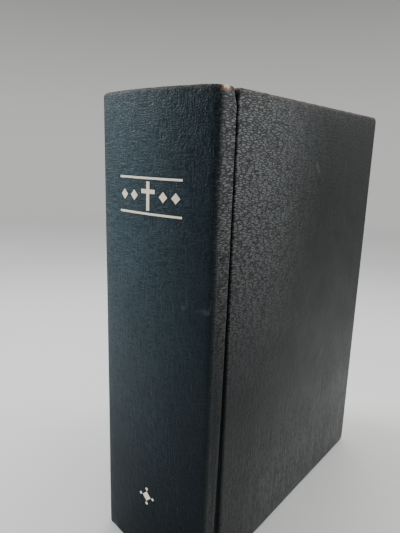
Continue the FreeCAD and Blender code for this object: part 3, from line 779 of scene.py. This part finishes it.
def board_colour(g, place, along, up, tone):
    """Nearly black, lighter in upright streaks towards the tail: partly dust, partly a painted reflection of
    the pale floor.
    """
    colour = g.mix(tone, (0.0050, 0.0060, 0.0066, 1), (0.0110, 0.0132, 0.0140, 1))
    streaks = g.noise(g.stretch(place, (1.0, 0.03, 1.0)), 0.8, 3.0, 0.65)
    # Partly dust and partly a painted reflection of the floor: pale grey streaks low on the board.
    dust_and_reflection = g.times(g.step(up, 95.0, 15.0), g.step(streaks, 0.32, 0.68, 0.25, 1.0))
    dust_and_reflection = g.times(dust_and_reflection, g.step(along, JOINT_S + 10.0, JOINT_S + 70.0, 0.3, 1.0))
    return g.mix(dust_and_reflection, colour, (0.088, 0.094, 0.094, 1))


def leatherette_material():
    """Embossed leatherette: teal to navy on the spine, nearly black on the boards, worn at its edges, with
    painted shade in its crease and grain hollows and painted sheen and glints by the joint.
    """
    g = Graph(bpy.data.materials.new("worn_leatherette"))
    place = g.in_millimetres("sheet")
    across, up, _ = g.split(place)
    along = g.math("ABSOLUTE", across)
    inset = g.times(g.attribute("inset", "Fac"), 1 / MM)
    in_crease = g.step(g.attribute("crease", "Fac"), 0.05, 0.60)
    on_side = g.step(along, JOINT_S - 6.0, JOINT_S + 2.0)
    near_joint = g.times(g.step(along, JOINT_S - 5.0, JOINT_S + 2.0),
                         g.step(along, JOINT_S + 20.0, JOINT_S + 105.0, 1.0, 0.0))
    grain, height = leatherette_grain(g, place, across, up, near_joint)
    lively = g.times(g.step(along, JOINT_S + 120.0, JOINT_S + 15.0, 0.35, 1.0),
                     g.step(up, 0.0, 120.0, 0.75, 1.0))
    normal = g.bump(height, 0.25 * MM, lively)

    tone = g.noise(place, 0.022, 2.0)
    colour = g.mix(on_side, spine_colour(g, across, up, tone), board_colour(g, place, along, up, tone))
    # Painted sheen: the joint and the board beside it are painted light grey towards the head.
    painted_joint_sheen = g.times(near_joint, g.step(up, 95.0, 235.0))
    colour = g.mix(g.times(painted_joint_sheen, 0.70), colour, (0.110, 0.115, 0.117, 1))
    # Painted glints: the grain's ridges near the joint's head are painted pale.
    painted_glints = g.times(g.step(grain, 0.40, 0.95), painted_joint_sheen)
    colour = g.mix(g.times(painted_glints, 0.70), colour, (0.22, 0.225, 0.23, 1))
    # Painted shade: the hollows of the grain are painted nearly black.
    painted_valley_shade = g.times(g.step(grain, 0.55, 0.0), g.blend(on_side, 0.48, 0.85))
    colour = g.mix(painted_valley_shade, colour, (0.0015, 0.0022, 0.0030, 1))
    # Painted shade: the crease is painted nearly black.
    colour = g.mix(in_crease, colour, (0.0012, 0.0014, 0.0018, 1))
    rubbed = g.noise(place, 0.35, 4.0, 0.65)
    chafed = g.noise(place, 1.1, 5.0, 0.7)
    worn = g.times(g.step(inset, 0.0, 1.1, 1.0, 0.0), g.step(chafed, 0.38, 0.72))
    colour = g.mix(g.times(worn, 0.40), colour, (0.10, 0.10, 0.095, 1))
    colour = g.mix(scratches(g, place), colour, (0.10, 0.11, 0.115, 1))
    colour = head_wear(g, colour, across, up, rubbed, chafed)

    roughness = g.blend(g.noise(place, 0.05, 3.0), 0.36, 0.52)
    roughness = g.blend(g.math("MAXIMUM", worn, in_crease), roughness, 0.80)
    dulled = g.blend(on_side, g.step(up, 20.0, 110.0, 0.20, 0.36), g.step(up, 60.0, 150.0, 0.50, 0.36))
    return g.finish(Base_Color=colour, Roughness=roughness, Normal=normal, IOR=1.29,
                    Specular_IOR_Level=dulled, Specular_Tint=(0.86, 1.0, 1.0, 1))


def scratches(g, place):
    """A few thin pale scratches, each way over the leatherette."""
    total = 0.0
    for turn, shift, scale in ((0.9, 3.0, 0.035), (-0.5, 11.0, 0.05), (1.35, 23.0, 0.04)):
        moved = g.node("ShaderNodeMapping", {"Vector": place, "Location": (shift, shift, 0),
                                             "Rotation": (0, 0, turn), "Scale": (1.0, 0.06, 1.0)}).outputs[0]
        line = g.step(g.cells(moved, scale), 0.0, 0.006, 1.0, 0.0)
        short = g.step(g.noise(place, 0.045 + scale, 1.0), 0.56, 0.64)
        total = g.math("MAXIMUM", total, g.times(line, short))
    return g.times(total, 0.35)


def head_wear(g, colour, across, up, rubbed, chafed):
    """The head cap is scuffed, and one corner of the joint is rubbed through to its copper-brown base."""
    below = g.math("SUBTRACT", HEIGHT / MM, up)
    scuffed = g.times(g.step(below, 7.0, 1.0), g.step(rubbed, 0.46, 0.64))
    colour = g.mix(g.times(scuffed, 0.35), colour, (0.14, 0.13, 0.11, 1))
    frayed = g.times(g.step(below, 2.2, 0.3), g.step(chafed, 0.40, 0.62))
    colour = g.mix(g.times(frayed, 0.55), colour, (0.16, 0.11, 0.075, 1))
    ragged = g.times(g.math("SUBTRACT", chafed, 0.5), 5.0)
    aside = g.math("ABSOLUTE", g.math("SUBTRACT", across, SIDE_START / MM + 0.8))
    reach = g.math("ADD", g.math("MAXIMUM", aside, g.times(below, 1.3)), ragged)
    colour = g.mix(g.step(reach, 3.2, 1.8), colour, (0.40, 0.19, 0.11, 1))
    return g.mix(g.step(reach, 2.2, 0.8), colour, (0.85, 0.76, 0.68, 1))


def paper_material(name, light, dark, line_scale):
    """Thin paper: fine lines of leaf edges on the block's sides, and yellowing towards the edges."""
    g = Graph(bpy.data.materials.new(name))
    place = g.in_millimetres("rest")
    inset = g.times(g.attribute("inset", "Fac"), 1 / MM)
    on_edge = g.step(inset, 0.0, 0.4, 1.0, 0.0)
    leaves = g.noise(g.stretch(place, (1.0, 0.02, 0.01)), line_scale, 3.0, 0.7)
    cloud = g.noise(place, 0.03, 3.0)
    shaded = g.times(g.step(leaves, 0.68, 0.30), on_edge)
    yellowed = g.times(g.step(inset, 14.0, 0.0), 0.22)
    colour = g.mix(shaded, light, dark)
    colour = g.mix(g.math("ADD", yellowed, g.times(cloud, 0.15)), colour, dark)
    fibre = g.noise(place, 3.0, 2.0)
    relief = g.math("ADD", g.times(leaves, on_edge), g.times(fibre, 0.3))
    normal = g.bump(relief, 0.05 * MM, 0.6)
    return g.finish(Base_Color=colour, Roughness=0.85, Normal=normal)


def plain_fibre_material(name, light, dark, scale, weave=False):
    """Greyboard, kraft paper, gauze or thread: two tones of the same fibre with a fine relief."""
    g = Graph(bpy.data.materials.new(name))
    place = g.coordinates()
    fibres = g.noise(place, scale, 4.0, 0.65)
    if weave:
        warp, weft = [g.node("ShaderNodeTexWave", {"Vector": place, "Scale": scale, "Distortion": 0.4},
                             bands_direction=way).outputs["Fac"] for way in "ZX"]
        fibres = g.math("MAXIMUM", warp, weft)
    colour = g.mix(fibres, dark, light)
    normal = g.bump(fibres, 0.06 * MM)
    return g.finish(Base_Color=colour, Roughness=0.9, Normal=normal)


def foil_material():
    """Stamped pale gold foil that lies in the grain, slightly rubbed."""
    g = Graph(bpy.data.materials.new("pale_gold_foil"))
    place = g.coordinates()
    rubbed = g.noise(place, 900.0, 3.0, 0.6)
    cloudy = g.noise(place, 160.0, 2.0)
    colour = g.mix(cloudy, (1.0, 0.90, 0.68, 1), (1.0, 0.96, 0.82, 1))
    colour = g.mix(g.step(rubbed, 0.68, 0.78), colour, (0.35, 0.27, 0.15, 1))
    normal = g.bump(rubbed, 0.04 * MM)
    return g.finish(Base_Color=colour, Roughness=0.35, Normal=normal)


def band_material():
    """Two threads, cream and dark blue, wound over the end band three turns at a time."""
    g = Graph(bpy.data.materials.new("end_band_threads"))
    length, _, wound = g.split(g.attribute("rest"))
    wave = g.math("SINE", g.times(length, math.pi / (3 * THREAD_PITCH)))
    blue = g.times(g.step(wave, -0.06, 0.06), wound)
    fibre = g.noise(g.coordinates(), 2500.0, 3.0, 0.7)
    cream = g.mix(fibre, (0.55, 0.50, 0.40, 1), (0.78, 0.73, 0.62, 1))
    navy = g.mix(fibre, (0.010, 0.020, 0.060, 1), (0.030, 0.050, 0.120, 1))
    normal = g.bump(fibre, 0.05 * MM)
    return g.finish(Base_Color=g.mix(blue, cream, navy), Roughness=0.8, Normal=normal)


def ground_material():
    """A pale floor with a painted pool of light: lighter near the book, darker further out, fading into the
    pale room round its rim.
    """
    g = Graph(bpy.data.materials.new("pale_floor"))
    place = g.coordinates()
    distance = g.node("ShaderNodeVectorMath", {0: place}, operation="LENGTH").outputs["Value"]
    # Painted light: the floor is painted lighter near the book and darker further out.
    colour = g.mix(g.step(distance, 0.2, 0.8), (0.79, 0.79, 0.78, 1), (0.52, 0.52, 0.515, 1))
    colour = g.mix(g.times(g.noise(place, 6.0, 2.0), 0.1), colour, (0.60, 0.60, 0.59, 1))
    return g.finish(Base_Color=colour, Roughness=0.55, Alpha=g.step(distance, 0.5, FLOOR_RADIUS, 1.0, 0.0))


# ---------------------------------------------------------------- assembly

def dress(piece, material):
    """Gives a piece its only material."""
    piece.data.materials.clear()
    piece.data.materials.append(material)
    return piece


leatherette = leatherette_material()
spine_skin = dress(make_spine_skin(), leatherette)
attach(spine_skin, "spine")
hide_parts("spine_leatherette")
for side, sign in SIDES.items():
    cover_skin = dress(make_cover_skin(side), leatherette)
    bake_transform(cover_skin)
    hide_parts(f"{side}_cover_leatherette")

leaf_paper = paper_material("bible_paper", (0.80, 0.76, 0.66, 1), (0.52, 0.46, 0.35, 1), 3.2)
end_paper = paper_material("end_paper", (0.82, 0.79, 0.71, 1), (0.74, 0.69, 0.58, 1), 0.4)
for number in range(1, SECTION_COUNT + 1):
    dress(make_section(number), leaf_paper)
for side in SIDES:
    for sheet in make_endpapers(side):
        dress(sheet, end_paper)
threads = band_material()
for node in ("headband", "tailband"):
    dress(make_end_band(node), threads)

greyboard = plain_fibre_material("greyboard", (0.26, 0.24, 0.21, 1), (0.17, 0.16, 0.14, 1), 500.0)
spine_card = plain_fibre_material("spine_card", (0.32, 0.27, 0.20, 1), (0.20, 0.16, 0.11, 1), 500.0)
kraft_paper = plain_fibre_material("kraft_paper", (0.45, 0.32, 0.19, 1), (0.33, 0.22, 0.12, 1), 700.0)
gauze = plain_fibre_material("gauze", (0.80, 0.77, 0.68, 1), (0.40, 0.37, 0.30, 1), 260.0, weave=True)
linen = plain_fibre_material("linen_thread", (0.80, 0.76, 0.66, 1), (0.60, 0.55, 0.45, 1), 1500.0)
CAD_FINISHES = (
    (greyboard, ("front_board", "back_board")),
    (spine_card, ("spine_inlay",)),
    (kraft_paper, ("spine_lining",)),
    (gauze, ("mull", "front_mull_flange", "back_mull_flange")),
    (linen, ("sewing_thread",)),
    (foil_material(), ("title_ornament", "foot_ornament")),
)
for material, nodes in CAD_FINISHES:
    for node in nodes:
        for material_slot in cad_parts[node].material_slots:
            material_slot.material = material

# ---------------------------------------------------------------- floor, light and camera

FLOOR_LEVEL = -0.2 * MM
FLOOR_SIDES = 96

ring = [(FLOOR_RADIUS * math.cos(turn), FLOOR_RADIUS * math.sin(turn), FLOOR_LEVEL)
        for turn in np.linspace(0, 2 * math.pi, FLOOR_SIDES, endpoint=False)]
floor = add_mesh("floor", ring, [tuple(range(len(ring)))])
dress(floor, ground_material())


def add_light(name, place, size, power, colour=(1, 1, 1)):
    """A rectangular soft light that looks at the middle of the book."""
    light = bpy.data.lights.new(name, "AREA")
    light.shape = "RECTANGLE"
    light.size, light.size_y = size
    light.energy = power
    light.color = colour
    lamp = bpy.data.objects.new(name, light)
    lamp.location = place
    to_book = Vector((0, 0, HEIGHT / 2)) - Vector(place)
    lamp.rotation_euler = to_book.to_track_quat("-Z", "Y").to_euler()
    bpy.context.scene.collection.objects.link(lamp)


add_light("left_softbox", (-1.3, -0.7, 0.9), size=(0.7, 0.9), power=31, colour=(0.96, 0.99, 1.0))
add_light("right_softbox", (0.9, 1.1, 0.8), size=(0.5, 0.6), power=11)
add_light("top_softbox", (0.0, 0.3, 1.5), size=(1.2, 1.2), power=20)

# The room glows most at the horizon, and beyond the book.
room = Graph(bpy.data.worlds.new("pale_room"), "Background")
_, depth_way, up_way = room.split(room.coordinates("Generated"))
glow = room.times(room.step(up_way, 0.0, 0.42, 0.58, 0.25), room.step(depth_way, -0.7, 0.5, 0.5, 1.0))
bpy.context.scene.world = room.finish(Strength=glow, Color=(1.0, 1.0, 0.985, 1))

CAMERA_PLACE = (0.15314, -0.24017, 0.21184)
YAW = math.radians(38.80)
PITCH = math.radians(13.18)
ROLL = math.radians(1.713)

camera_data = bpy.data.cameras.new("camera")
camera_data.lens = 31.9
camera_data.sensor_width = 36
camera_data.clip_start = 0.01
camera = bpy.data.objects.new("camera", camera_data)
tilt = math.pi / 2 - PITCH
aim = Matrix.Rotation(YAW, 4, "Z") @ Matrix.Rotation(tilt, 4, "X") @ Matrix.Rotation(ROLL, 4, "Z")
camera.matrix_world = Matrix.Translation(CAMERA_PLACE) @ aim
bpy.context.scene.collection.objects.link(camera)
bpy.context.scene.camera = camera
